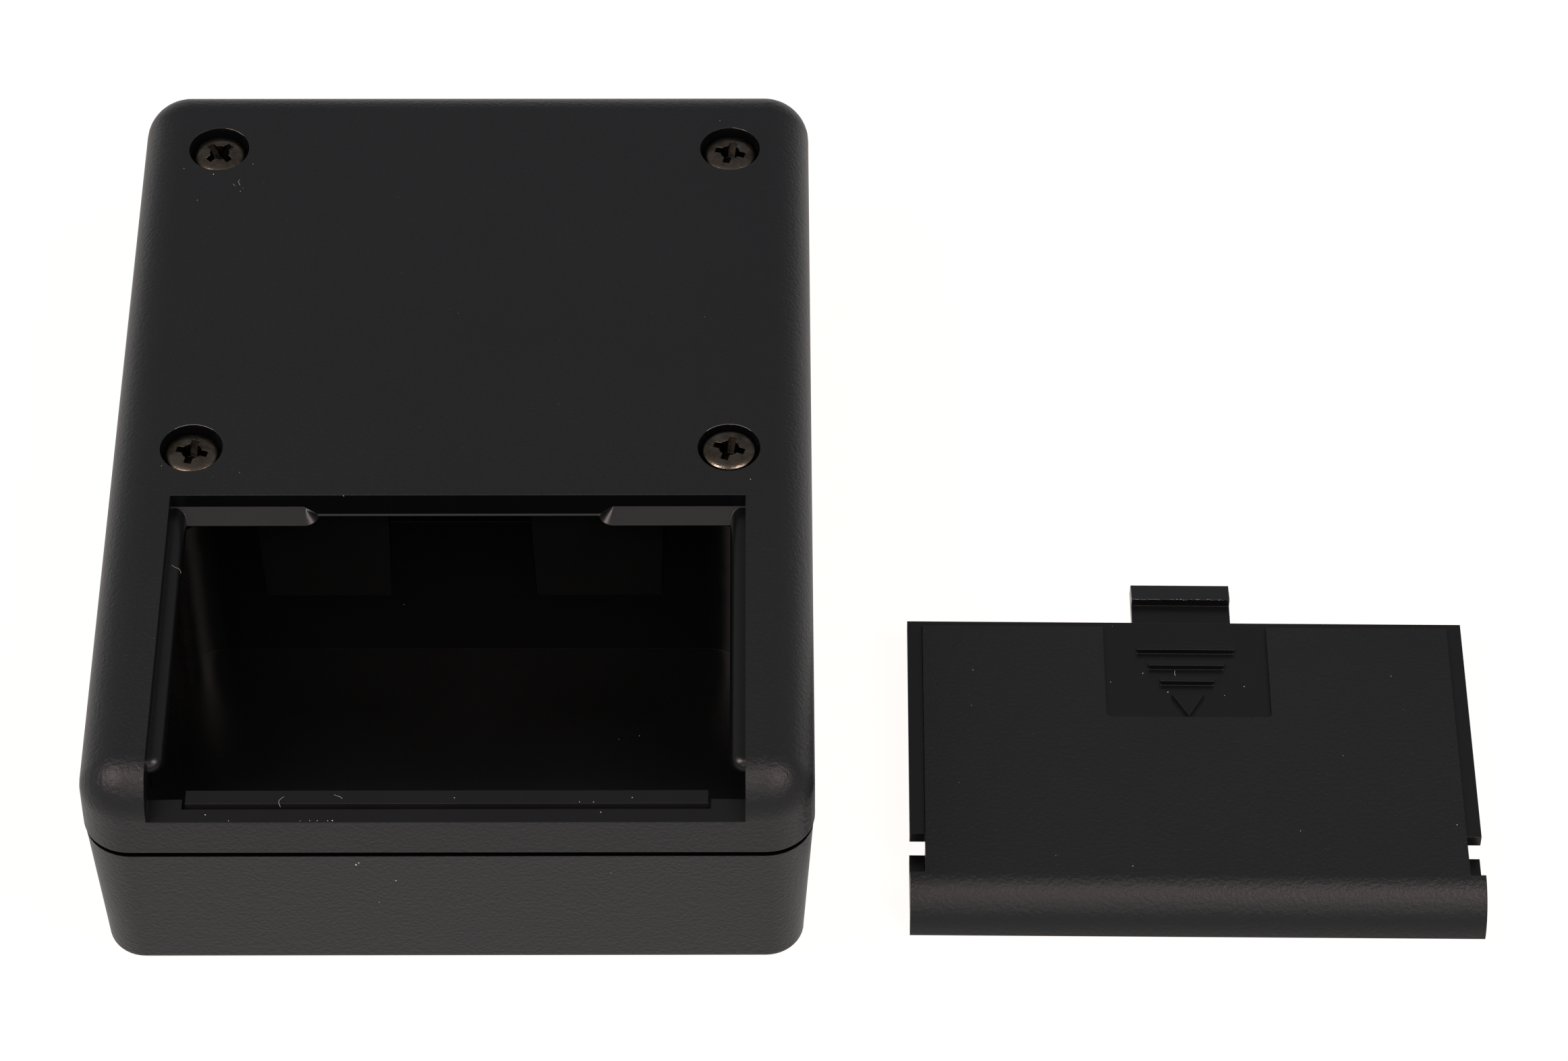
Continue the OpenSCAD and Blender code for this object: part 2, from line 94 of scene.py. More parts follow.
# Lights: name, place, target and size in metres, watts, tint
LIGHTS = (
    ("front_softbox", (0.16, -0.88, 0.68), (0.03, 0.0, 0.02), (1.4, 0.5), 4.4, SOFTBOX_TINT),
    ("left_lamp", (-0.52, -0.24, 0.82), (-0.03, -0.05, 0.03), (0.3, 0.6), 9.5, LAMP_TINT),
    ("right_lamp", (0.50, -0.30, 0.84), (0.03, -0.05, 0.03), (0.3, 0.6), 7.5, LAMP_TINT),
)

# Dust seen on the object: place in millimetres and size in millimetres
SPECKS = (
    (-12.6, -12.1, 30.5, 0.045), (-27, 35.5, 30.5, 0.04), (-26.7, 36, 30.5, 0.034),
    (-30.3, 38.3, 30.5, 0.05), (-33.8, 39.2, 30.5, 0.04), (-25.8, 40, 30.5, 0.04),
    (-31.9, 34, 30.5, 0.034), (-24.4, 36.9, 30.5, 0.03), (-33, -7.6, 30.5, 0.04),
    (-24.3, -8.6, 30.5, 0.034), (32.3, -9.7, 30.5, 0.05), (28.7, 47.2, 30.5, 0.034),
    (14.1, -51.2, 25.35, 0.05), (15.6, -51.2, 25.35, 0.04), (16.4, -52.6, 25.35, 0.065),
    (19.7, -50.6, 25.35, 0.059), (0.8, -50.6, 25.35, 0.045), (-12, -53.7, 25.35, 0.074),
    (-12.5, -53.7, 25.35, 0.045), (-25.5, -52.9, 25.35, 0.07), (-23, -53.7, 25.35, 0.04),
    (-14.4, -53.7, 25.35, 0.04), (-13.6, -53.7, 25.35, 0.045), (-15.4, -53.7, 25.35, 0.034),
    (-9.9, -53.85, 18, 0.08), (-9.6, -53.85, 18.3, 0.088), (-5.8, -53.75, 15.1, 0.05),
    (-7.8, -53.6, 11.1, 0.045), (-14.5, -53.7, 23.1, 0.045), (2.4, -53.65, 12.4, 0.03),
    (17.3, -53.8, 16.4, 0.03), (79.5, -18.8, 4.55, 0.065), (76.8, -16, 4.55, 0.05),
    (73.1, -17.3, 4.55, 0.04), (88.2, -18, 4.55, 0.045), (85.9, -19.3, 4.55, 0.034),
    (74.3, -44.1, 5.05, 0.054), (93.1, -39.2, 5.05, 0.045), (110.5, -38.4, 5.05, 0.05),
    (57.5, -15.9, 5.05, 0.054), (57.2, -21.1, 5.05, 0.034), (65.9, -42.6, 5.05, 0.034),
    (104.9, -16.9, 5.05, 0.034), (98.6, -28.5, 5.05, 0.03), (-6.9, -11.62, 11.6, 0.03),
    (17.4, -23.9, 2.5, 0.045), (19.7, -23.4, 2.5, 0.034),
)

# Fibres seen on the object: points of each in millimetres
FIBRES = (
    ((-17.6, -51.9, 25.42), (-17.8, -51.3, 25.6), (-17.6, -50.9, 25.6), (-17.3, -50.5, 25.42)),
    ((-31.1, -20.5, 28.52), (-30.8, -20.8, 28.56), (-30.3, -20.8, 28.2), (-30.1, -21.1, 27.8)),
    ((-27.2, 37.4, 30.5), (-27.3, 37.0, 30.53), (-27.1, 36.5, 30.5)),
    ((-27.9, 36.7, 30.5), (-27.7, 36.4, 30.5)),
    ((80.5, -15.6, 4.57), (80.4, -16.0, 4.62), (80.5, -16.4, 4.57)),
    ((-12.0, -50.2, 25.38), (-11.4, -50.5, 25.42), (-11.1, -50.7, 25.38)),
)

# Painted highlights: pale threads on the far rims of the screw recesses, in the order of the turns: first and
# last angle in degrees
RIM_GLINTS = ((40, 80), (55, 85), (50, 125), (45, 135))
GLINT_STEPS = 8
GLINT_RADIUS = 0.009 * MM

# Painted highlight along the upper edge of the latch's ridge: both ends in millimetres
RIDGE = ((76.24, -3.34, 2.75), (87.54, -3.46, 2.75))

DUST_SEED = 3                          # of the fine dust on the first piece
DUST_UP = 0.97                         # least upright part of the normals where it settles
DUST_LEAST = 0.4                       # size of its smallest grains beside the largest
# Colours of the dust, also used for the painted highlights on the recess rims and the latch's ridge
DUST_AND_HIGHLIGHT_COLOURS = ((0.45, 0.44, 0.42), (0.26, 0.22, 0.18))


def linked(name, mesh):
    """Object of a mesh, in the scene."""
    piece = bpy.data.objects.new(name, mesh)
    bpy.context.scene.collection.objects.link(piece)
    return piece


# Camera, floor and light

def add_camera():
    """The camera at the photograph's place and angle."""
    place = Vector(CAMERA_PLACE) * MM
    pitch, turn, roll = (math.radians(angle) for angle in CAMERA_ANGLES)
    ahead = Vector((math.sin(turn) * math.cos(pitch), math.cos(turn) * math.cos(pitch), -math.sin(pitch)))
    level = Vector((math.cos(turn), -math.sin(turn), 0.0))
    upright = level.cross(ahead)
    right = math.cos(roll) * level + math.sin(roll) * upright
    up = math.cos(roll) * upright - math.sin(roll) * level
    data = bpy.data.cameras.new("photo_camera")
    data.sensor_width = SENSOR_WIDTH
    data.lens = CAMERA_LENS
    data.clip_start = 0.01
    camera = bpy.data.objects.new("photo_camera", data)
    axes = Matrix((right, up, -ahead)).transposed().to_4x4()
    camera.matrix_world = Matrix.Translation(place) @ axes
    bpy.context.scene.collection.objects.link(camera)
    bpy.context.scene.camera = camera


def add_floor():
    """Plain white table, lit so strongly in the photograph that hardly a shadow is left on it."""
    mesh = bpy.data.meshes.new("floor")
    half = FLOOR_HALF
    corners = [(-half, -half, 0), (half, -half, 0), (half, half, 0), (-half, half, 0)]
    mesh.from_pydata(corners, [], [(0, 1, 2, 3)])
    floor = linked("floor", mesh)
    material, _, shader = new_material("white_table")
    shader.inputs["Base Color"].default_value = FLOOR_COLOUR
    shader.inputs["Roughness"].default_value = 0.9
    shader.inputs["Specular IOR Level"].default_value = 0.1
    shader.inputs["Emission Color"].default_value = FLOOR_GLOW
    shader.inputs["Emission Strength"].default_value = 1.0
    mesh.materials.append(material)


def add_light(name, place, target, size, watts, tint):
    """A rectangular soft light that looks at its target."""
    data = bpy.data.lights.new(name, "AREA")
    data.shape = "RECTANGLE"
    data.size, data.size_y = size
    data.energy = watts
    data.color = tint
    light = bpy.data.objects.new(name, data)
    light.location = place
    light.rotation_euler = (Vector(target) - Vector(place)).to_track_quat("-Z", "Y").to_euler()
    bpy.context.scene.collection.objects.link(light)


def add_lights():
    """Wide soft light from the front, high up, with a warmer soft lamp on either side."""
    world = bpy.data.worlds.new("studio")
    bpy.context.scene.world = world
    world.use_nodes = True
    background = world.node_tree.nodes["Background"]
    background.inputs["Color"].default_value = SKY_COLOUR
    background.inputs["Strength"].default_value = SKY_STRENGTH
    for light in LIGHTS:
        add_light(*light)


# Materials

def new_material(name):
    """A material with its node tree and its shader."""
    material = bpy.data.materials.new(name)
    material.use_nodes = True
    return material, material.node_tree, material.node_tree.nodes["Principled BSDF"]


def add_node(tree, kind, place, **settings):
    """A node of a tree, with some of its settings."""
    node = tree.nodes.new(kind)
    node.location = place
    for name, value in settings.items():
        setattr(node, name, value)
    return node


def add_sockets(tree, direction, sockets):
    """Sockets of a node group: a dict of name to default value, or to a socket kind without one."""
    for name, value in sockets.items():
        if isinstance(value, str):
            tree.interface.new_socket(name, in_out=direction, socket_type=value)
        else:
            kind = "NodeSocketInt" if isinstance(value, int) else "NodeSocketFloat"
            tree.interface.new_socket(name, in_out=direction, socket_type=kind).default_value = value


def grain_group():
    """Shared group: the spark-eroded grain of a mould as a bump, and softened edges that catch the light."""
    tree = bpy.data.node_groups.new("moulded_grain", "ShaderNodeTree")
    add_sockets(tree, "INPUT", {"Depth": 0.5, "Scale": 3000.0, "Edge": 0.3 * MM})
    add_sockets(tree, "OUTPUT", {"Normal": "NodeSocketVector"})
    inputs = add_node(tree, "NodeGroupInput", (-800, 0))
    outputs = add_node(tree, "NodeGroupOutput", (400, 0))
    coord = add_node(tree, "ShaderNodeTexCoord", (-800, -200))
    noise = add_node(tree, "ShaderNodeTexNoise", (-500, 0))
    noise.inputs["Detail"].default_value = 3.0
    noise.inputs["Roughness"].default_value = 0.6
    edge = add_node(tree, "ShaderNodeBevel", (-150, -250), samples=8)
    bump = add_node(tree, "ShaderNodeBump", (150, 0))
    bump.inputs["Distance"].default_value = 0.12 * MM
    link = tree.links.new
    link(coord.outputs["Object"], noise.inputs["Vector"])
    link(inputs.outputs["Scale"], noise.inputs["Scale"])
    link(noise.outputs["Fac"], bump.inputs["Height"])
    link(inputs.outputs["Edge"], edge.inputs["Radius"])
    link(edge.outputs["Normal"], bump.inputs["Normal"])
    link(inputs.outputs["Depth"], bump.inputs["Strength"])
    link(bump.outputs["Normal"], outputs.inputs["Normal"])


def film_group():
    """Shared group: uneven film of dust and handling marks as a mask between 0 and 1."""
    tree = bpy.data.node_groups.new("dust_film", "ShaderNodeTree")
    add_sockets(tree, "INPUT", {"Scale": 60.0, "Amount": 0.5})
    add_sockets(tree, "OUTPUT", {"Mask": "NodeSocketFloat"})
    inputs = add_node(tree, "NodeGroupInput", (-800, 0))
    outputs = add_node(tree, "NodeGroupOutput", (500, 0))
    coord = add_node(tree, "ShaderNodeTexCoord", (-800, -200))
    clouds = add_node(tree, "ShaderNodeTexNoise", (-550, 100))
    clouds.inputs["Detail"].default_value = 6.0
    clouds.inputs["Roughness"].default_value = 0.65
    grit = add_node(tree, "ShaderNodeTexNoise", (-550, -200))
    grit.inputs["Scale"].default_value = 5200.0
    spots = add_node(tree, "ShaderNodeMapRange", (-250, -200))
    spots.inputs["From Min"].default_value = 0.66
    spots.inputs["From Max"].default_value = 0.8
    both = add_node(tree, "ShaderNodeMath", (0, 0), operation="ADD", use_clamp=True)
    level = add_node(tree, "ShaderNodeMath", (250, 0), operation="MULTIPLY", use_clamp=True)
    link = tree.links.new
    link(coord.outputs["Object"], clouds.inputs["Vector"])
    link(coord.outputs["Object"], grit.inputs["Vector"])
    link(inputs.outputs["Scale"], clouds.inputs["Scale"])
    link(grit.outputs["Fac"], spots.inputs["Value"])
    link(clouds.outputs["Fac"], both.inputs[0])
    link(spots.outputs["Result"], both.inputs[1])
    link(both.outputs["Value"], level.inputs[0])
    link(inputs.outputs["Amount"], level.inputs[1])
    link(level.outputs["Value"], outputs.inputs["Mask"])


def shared_group(tree, name, place, sockets, values):
    """A shared node group in a material, with the material's own values on its sockets."""
    node = add_node(tree, "ShaderNodeGroup", place, node_tree=bpy.data.node_groups[name])
    for socket, value in zip(sockets, values):
        node.inputs[socket].default_value = value
    return node


def blended(tree, mask, clean, worn, place):
    """Colour that goes from clean to worn with a mask."""
    mix = add_node(tree, "ShaderNodeMix", place, data_type="RGBA")
    tree.links.new(mask, mix.inputs["Factor"])
    mix.inputs["A"].default_value = (*clean, 1)
    mix.inputs["B"].default_value = (*worn, 1)
    return mix.outputs["Result"]


def spread(tree, mask, taken, given, place):
    """Value that goes through the given range while a mask goes through the taken one."""
    ranges = add_node(tree, "ShaderNodeMapRange", place)
    tree.links.new(mask, ranges.inputs["Value"])
    for socket, value in zip(("From Min", "From Max", "To Min", "To Max"), (*taken, *given)):
        ranges.inputs[socket].default_value = value
    return ranges.outputs["Result"]


def finish(name, colours, roughness, grain, film, contrast=None):
    """A material and its shader, between a clean and a worn look.

    colours and roughness are (clean, worn), grain is (depth, scale, edge) and film (scale, amount).
    contrast is the part of the film's range that goes all the way from clean to worn.
    """
    material, tree, shader = new_material(name)
    surface = shared_group(tree, "moulded_grain", (-700, -200), ("Depth", "Scale", "Edge"), grain)
    dust = shared_group(tree, "dust_film", (-700, 200), ("Scale", "Amount"), film)
    mask = dust.outputs["Mask"]
    if contrast:
        mask = spread(tree, mask, contrast, (0.0, 1.0), (-520, 200))
    link = tree.links.new
    link(blended(tree, mask, *colours, (-350, 300)), shader.inputs["Base Color"])
    link(spread(tree, mask, (0.0, 1.0), roughness, (-350, 0)), shader.inputs["Roughness"])
    link(surface.outputs["Normal"], shader.inputs["Normal"])
    return material, shader


def plastic(name, colours, roughness, grain, film):
    """Black moulded plastic."""
    material, shader = finish(name, colours, roughness, grain, film)
    shader.inputs["IOR"].default_value = PLASTIC_IOR
    return material


def metal(name, colours, roughness):
    """Plated steel gone brownish, with worn spots that shine."""
    material, shader = finish(name, colours, roughness, METAL_GRAIN, METAL_FILM, METAL_CONTRAST)
    shader.inputs["Metallic"].default_value = 1.0
    return material


def lint_and_highlight(name):
    """Pale dust and fibres, some of them brownish; the same material also paints the highlights on the recess
    rims and along the latch's ridge.
    """
    material, tree, shader = new_material(name)
    coord = add_node(tree, "ShaderNodeTexCoord", (-900, 0))
    noise = add_node(tree, "ShaderNodeTexNoise", (-700, 0))
    noise.inputs["Scale"].default_value = 300.0
    tree.links.new(coord.outputs["Object"], noise.inputs["Vector"])
    colour = blended(tree, noise.outputs["Fac"], *DUST_AND_HIGHLIGHT_COLOURS, (-350, 200))
    tree.links.new(colour, shader.inputs["Base Color"])
    shader.inputs["Roughness"].default_value = 0.9
    return material


# Geometry node trees

def new_tree(name, sizes):
    """Modifier tree with geometry and material sockets and named sizes."""
    tree = bpy.data.node_groups.new(name, "GeometryNodeTree")
    tree.is_modifier = True
    add_sockets(tree, "INPUT", {"Geometry": "NodeSocketGeometry", **sizes, "Material": "NodeSocketMaterial"})
    add_sockets(tree, "OUTPUT", {"Geometry": "NodeSocketGeometry"})
    inputs = add_node(tree, "NodeGroupInput", (-900, 0))
    outputs = add_node(tree, "NodeGroupOutput", (900, 0))
    return tree, inputs, outputs


def end_tree(tree, inputs, outputs, geometry):
    """Ends the tree with the realized and painted result, and returns the painting node."""
    real = add_node(tree, "GeometryNodeRealizeInstances", (500, 0))
    paint = add_node(tree, "GeometryNodeSetMaterial", (700, 0))
    tree.links.new(geometry, real.inputs["Geometry"])
    tree.links.new(real.outputs["Geometry"], paint.inputs["Geometry"])
    tree.links.new(inputs.outputs["Material"], paint.inputs["Material"])
    tree.links.new(paint.outputs["Geometry"], outputs.inputs["Geometry"])
    return paint


def attribute(tree, name, kind, place):
    """Value of a mesh's named attribute."""
    node = add_node(tree, "GeometryNodeInputNamedAttribute", place, data_type=kind)
    node.inputs["Name"].default_value = name
    return node.outputs["Attribute"]


def dust_ball(tree, rounds, place):
    """Small round grain with a radius of 1, which its instances scale."""
    ball = add_node(tree, "GeometryNodeMeshIcoSphere", place)
    ball.inputs["Radius"].default_value = 1.0
    ball.inputs["Subdivisions"].default_value = rounds
    return ball.outputs["Mesh"]


def uneven_size(tree, inputs, least):
    """The tree's Size times a random share between the least one and 1."""
    share = add_node(tree, "FunctionNodeRandomValue", (-250, -400), data_type="FLOAT")
    share.inputs["Min"].default_value = least
    share.inputs["Max"].default_value = 1.0
    size = add_node(tree, "ShaderNodeMath", (0, -400), operation="MULTIPLY")
    tree.links.new(inputs.outputs["Seed"], share.inputs["Seed"])
    tree.links.new(share.outputs["Value"], size.inputs[0])
    tree.links.new(inputs.outputs["Size"], size.inputs[1])
    return size.outputs["Value"]


def speck_tree():
    """A lumpy grain of dust on each point, as large as the point's size attribute says."""
    tree, inputs, outputs = new_tree("dust_specks", {"Flatness": 0.6, "Seed": 7})
    turn = add_node(tree, "FunctionNodeRandomValue", (-600, -400), data_type="FLOAT_VECTOR")
    turn.inputs["Max"].default_value = (math.tau, math.tau, math.tau)
    shape = add_node(tree, "ShaderNodeCombineXYZ", (-350, -400))
    shape.inputs["X"].default_value = 1.5
    shape.inputs["Y"].default_value = 1.0
    scale = add_node(tree, "ShaderNodeVectorMath", (-100, -400), operation="SCALE")
    place = add_node(tree, "GeometryNodeInstanceOnPoints", (150, 0))
    link = tree.links.new
    link(inputs.outputs["Seed"], turn.inputs["Seed"])
    link(inputs.outputs["Flatness"], shape.inputs["Z"])
    link(shape.outputs["Vector"], scale.inputs[0])
    link(attribute(tree, "size", "FLOAT", (-350, -600)), scale.inputs["Scale"])
    link(inputs.outputs["Geometry"], place.inputs["Points"])
    link(dust_ball(tree, 2, (-600, -200)), place.inputs["Instance"])
    link(turn.outputs["Value"], place.inputs["Rotation"])
    link(scale.outputs["Vector"], place.inputs["Scale"])
    end_tree(tree, inputs, outputs, place.outputs["Instances"])
    return tree


def scatter_tree():
    """Fine dust scattered over the faces that look up."""
    tree, inputs, outputs = new_tree("fine_dust", {"Density": 9000.0, "Size": 0.024 * MM, "Seed": DUST_SEED})
    normal = add_node(tree, "GeometryNodeInputNormal", (-900, 300))
    parts = add_node(tree, "ShaderNodeSeparateXYZ", (-700, 300))
    upward = add_node(tree, "FunctionNodeCompare", (-500, 300), data_type="FLOAT", operation="GREATER_THAN")
    upward.inputs["B"].default_value = DUST_UP
    points = add_node(tree, "GeometryNodeDistributePointsOnFaces", (-250, 100))
    place = add_node(tree, "GeometryNodeInstanceOnPoints", (200, 0))
    link = tree.links.new
    link(normal.outputs["Normal"], parts.inputs["Vector"])
    link(parts.outputs["Z"], upward.inputs["A"])
    link(upward.outputs["Result"], points.inputs["Selection"])
    link(inputs.outputs["Geometry"], points.inputs["Mesh"])
    link(inputs.outputs["Density"], points.inputs["Density"])
    link(inputs.outputs["Seed"], points.inputs["Seed"])
    link(points.outputs["Points"], place.inputs["Points"])
    link(dust_ball(tree, 1, (-250, -200)), place.inputs["Instance"])
    link(uneven_size(tree, inputs, DUST_LEAST), place.inputs["Scale"])
    end_tree(tree, inputs, outputs, place.outputs["Instances"])
    return tree


def fibre_tree():
    """A round thread along each chain of edges."""
    tree, inputs, outputs = new_tree("fibres", {"Radius": 0.014 * MM, "Sides": 6})
    path = add_node(tree, "GeometryNodeMeshToCurve", (-500, 0))
    smooth_path = add_node(tree, "GeometryNodeCurveSplineType", (-300, 0), spline_type="CATMULL_ROM")
    section = add_node(tree, "GeometryNodeCurvePrimitiveCircle", (-300, -200))
    thread = add_node(tree, "GeometryNodeCurveToMesh", (0, 0))
    thread.inputs["Fill Caps"].default_value = True
    link = tree.links.new
    link(inputs.outputs["Geometry"], path.inputs["Mesh"])
    link(path.outputs["Curve"], smooth_path.inputs["Curve"])
    link(smooth_path.outputs["Curve"], thread.inputs["Curve"])
    link(inputs.outputs["Radius"], section.inputs["Radius"])
    link(inputs.outputs["Sides"], section.inputs["Resolution"])
    link(section.outputs["Curve"], thread.inputs["Profile Curve"])
    end_tree(tree, inputs, outputs, thread.outputs["Mesh"])
    return tree


def highlight_spots_tree():
    """Small pale spots of uneven size along each chain of edges, a painted highlight."""
    sizes = {"Count": 80, "Size": 0.045 * MM, "Jitter": 0.05 * MM, "Seed": 11}
    tree, inputs, outputs = new_tree("wear", sizes)
    path = add_node(tree, "GeometryNodeMeshToCurve", (-700, 0))
    spots = add_node(tree, "GeometryNodeResampleCurve", (-500, 0))
    shake = add_node(tree, "FunctionNodeRandomValue", (-700, -300), data_type="FLOAT_VECTOR")
    shake.inputs["Min"].default_value = (-1.0, -1.0, -1.0)
    offset = add_node(tree, "ShaderNodeVectorMath", (-500, -300), operation="SCALE")
    shaken = add_node(tree, "GeometryNodeSetPosition", (-250, 0))
    place = add_node(tree, "GeometryNodeInstanceOnPoints", (200, 0))
    link = tree.links.new
    link(inputs.outputs["Geometry"], path.inputs["Mesh"])
    link(path.outputs["Curve"], spots.inputs["Curve"])
    link(inputs.outputs["Count"], spots.inputs["Count"])
    link(inputs.outputs["Seed"], shake.inputs["Seed"])
    link(shake.outputs["Value"], offset.inputs[0])
    link(inputs.outputs["Jitter"], offset.inputs["Scale"])
    link(spots.outputs["Curve"], shaken.inputs["Geometry"])
    link(offset.outputs["Vector"], shaken.inputs["Offset"])
    link(shaken.outputs["Geometry"], place.inputs["Points"])
    link(dust_ball(tree, 1, (-250, -200)), place.inputs["Instance"])
    link(uneven_size(tree, inputs, 0.0), place.inputs["Scale"])
    end_tree(tree, inputs, outputs, place.outputs["Instances"])
    return tree


def copies_tree():
    """A copy of one object on each point, turned about its own upright axis by the point's turn attribute.

    Faces that the copied object marks as shaded take the darker material, which paints shade into them.
    """
    tree, inputs, outputs = new_tree("copies", {"Copy": "NodeSocketObject", "Dark": "NodeSocketMaterial"})
    copy = add_node(tree, "GeometryNodeObjectInfo", (-500, -200))
    turn = add_node(tree, "ShaderNodeCombineXYZ", (-300, -400))
    place = add_node(tree, "GeometryNodeInstanceOnPoints", (100, 0))
    link = tree.links.new
    link(inputs.outputs["Copy"], copy.inputs["Object"])
    link(attribute(tree, "turn", "FLOAT", (-500, -400)), turn.inputs["Z"])
    link(inputs.outputs["Geometry"], place.inputs["Points"])
    link(copy.outputs["Geometry"], place.inputs["Instance"])
    link(turn.outputs["Vector"], place.inputs["Rotation"])
    paint = end_tree(tree, inputs, outputs, place.outputs["Instances"])
    # Painted shade: the marked faces of the cross recess take the darker material
    darken = add_node(tree, "GeometryNodeSetMaterial", (850, -200))
    link(paint.outputs["Geometry"], darken.inputs["Geometry"])
    link(attribute(tree, "dark", "BOOLEAN", (600, -400)), darken.inputs["Selection"])
    link(inputs.outputs["Dark"], darken.inputs["Material"])
    link(darken.outputs["Geometry"], outputs.inputs["Geometry"])
    return tree


def settle(piece):
    """Turns the modifiers' result into the piece's own mesh."""
    view = bpy.context.evaluated_depsgraph_get()
    piece.data = bpy.data.meshes.new_from_object(piece.evaluated_get(view))
    piece.modifiers.clear()


def grown(name, mesh, tree, **values):
    """Object whose mesh is what the tree makes of the given one."""
    piece = linked(name, mesh)
    modifier = piece.modifiers.new(name, "NODES")
    modifier.node_group = tree
    sockets = {item.name: item.identifier for item in tree.interface.items_tree if item.in_out == "INPUT"}
    for socket, value in values.items():
        modifier[sockets[socket]] = value
    settle(piece)
    return piece


def points_mesh(name, places, **attributes):
    """Mesh of loose points in metres with a float attribute for each name."""
    mesh = bpy.data.meshes.new(name)
    mesh.from_pydata(places, [], [])
    for key, values in attributes.items():
        mesh.attributes.new(key, "FLOAT", "POINT").data.foreach_set("value", values)
    return mesh


def chains_mesh(name, chains):
    """Mesh of loose edges along each chain of points in millimetres."""
    mesh = bpy.data.meshes.new(name)
    points = [Vector(point) * MM for chain in chains for point in chain]
    starts = [sum(len(chain) for chain in chains[:i]) for i in range(len(chains))]
    edges = [(start + i, start + i + 1)
             for start, chain in zip(starts, chains) for i in range(len(chain) - 1)]
    mesh.from_pydata(points, edges, [])
    return mesh


# Pieces

def patches(bm):
    """Sets of faces that are joined by smooth edges."""
    rest = set(bm.faces)
    found = []
    while rest:
        queue = [rest.pop()]
        patch = set(queue)
        while queue:
            for edge in queue.pop().edges:
                if edge.calc_face_angle(math.pi) < SHARP_ANGLE:
                    fresh = [face for face in edge.link_faces if face in rest]
                    rest.difference_update(fresh)
                    patch.update(fresh)
                    queue.extend(fresh)
        found.append(patch)
    return found


def is_skin(patch, seed_z, up):
    """Whether the patch holds the flat face at height seed_z that looks up (1) or down (-1)."""
    return any(abs(f.calc_center_median().z - seed_z) < NEAR and f.normal.z * up > FLAT_UP for f in patch)


def lowest(patch):
    """Height of the patch's lowest corner."""
    return min(vert.co.z for face in patch for vert in face.verts)


def in_groove(patch):
    """Whether the patch is the locating rib's face in the groove behind the cut end wall."""
    verts = [vert.co for face in patch for vert in face.verts]
    return max(co.y for co in verts) < GROOVE_Y and max(co.z for co in verts) > JOINT_Z + GROOVE_RISE


def plastic_slot(patch, seed, grooved):
    """Material slot of a patch of a moulding whose outside holds the seed face."""
    if is_skin(patch, *seed):
        return OUTSIDE
    if grooved and in_groove(patch):
        return GROOVE
    return OPENING if lowest(patch) > JOINT_Z + ABOVE_JOINT else BELOW


def number_all(bm):
    """Numbers the faces and corners afresh."""
    bm.faces.index_update()
    bm.verts.index_update()


def cad_bmesh(node):
    """A CAD node's mesh with its triangles joined."""
    bm = bmesh.new()
    bm.from_mesh(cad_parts[node].data)
    bmesh.ops.remove_doubles(bm, verts=bm.verts, dist=MERGE_DISTANCE)
    bmesh.ops.recalc_face_normals(bm, faces=bm.faces)
    number_all(bm)
    return bm


def fit_front(bm):
    """Squares the battery tub's floor edge and opens the joint a little more, as the photograph has them."""
    for vert in bm.verts:
        if TUB_FLOOR_Z < vert.co.z < TUB_FLOOR_Z + TUB_FLOOR_R + NEAR:
            vert.co.z = TUB_FLOOR_Z
        if abs(vert.co.z - FRONT_TOP_Z) < NEAR:
            vert.co.z -= JOINT_EXTRA
    bmesh.ops.dissolve_degenerate(bm, dist=TINY_EDGE, edges=bm.edges)
    number_all(bm)


def smooth_mesh(name, bm):
    """Smooth-shaded mesh that is sharp at its edges."""
    mesh = bpy.data.meshes.new(name)
    mesh.from_pydata([v.co.copy() for v in bm.verts], [], [[v.index for v in f.verts] for f in bm.faces])
    for polygon in mesh.polygons:
        polygon.use_smooth = True
    mesh.set_sharp_from_angle(angle=SHARP_ANGLE)
    return mesh


def flatten_normals(piece):
    """Lets large faces set the normals at their edges, so that flat ones look flat."""
    weigh = piece.modifiers.new("flat_faces_stay_flat", "WEIGHTED_NORMAL")
    weigh.mode = "FACE_AREA"
    weigh.weight = 100
    weigh.keep_sharp = True
    settle(piece)


def moulding(node, seed, *plastics):
    """Finished copy of a moulded shell.

    seed is the height and the direction of a face on its outside. plastics are those of its outside, of the
    opening, of what lies below the joint and, on the front shell, of the groove behind the cut end wall.
    """
    bm = cad_bmesh(node)
    if node == "front_shell":
        fit_front(bm)
    slots = {}
    for patch in patches(bm):
        slot = plastic_slot(patch, seed, grooved=len(plastics) > GROOVE)
        slots.update((face.index, slot) for face in patch)
    mesh = smooth_mesh(node + "_finish", bm)
    bm.free()
    for material in plastics:
        mesh.materials.append(material)
    for polygon in mesh.polygons:
        polygon.material_index = slots[polygon.index]
    piece = linked(node + "_finish", mesh)
    flatten_normals(piece)
    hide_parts(node)
    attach(piece, "root")
    return piece


def loose_parts(bm):
    """Sets of joined vertices."""
    rest = set(bm.verts)
    parts = []
    while rest:
        queue = [rest.pop()]
        part = set(queue)
        while queue:
            for edge in queue.pop().link_edges:
                for vert in edge.verts:
                    if vert in rest:
                        rest.discard(vert)
                        part.add(vert)
                        queue.append(vert)
        parts.append(part)
    return parts


def in_recess(patch, top):
    """Whether the patch belongs to a screw's cross recess, given the height of the screw's top."""
    reach = max(vert.co.xy.length for face in patch for vert in face.verts)
    return reach < CROSS_REACH and lowest(patch) > top - CROSS_DEPTH


def screw_places(bm):
    """Lower end of each screw's axis, and the screw's vertices, in the order of the turns."""
    places = []
    for part in loose_parts(bm):
        low, high = (Vector([pick(v.co[i] for v in part) for i in range(3)]) for pick in (min, max))
        places.append((Vector(((low.x + high.x) / 2, (low.y + high.y) / 2, low.z)), part))
    places.sort(key=lambda entry: (entry[0].y < FAR_ROW_Y, entry[0].x))
    return places


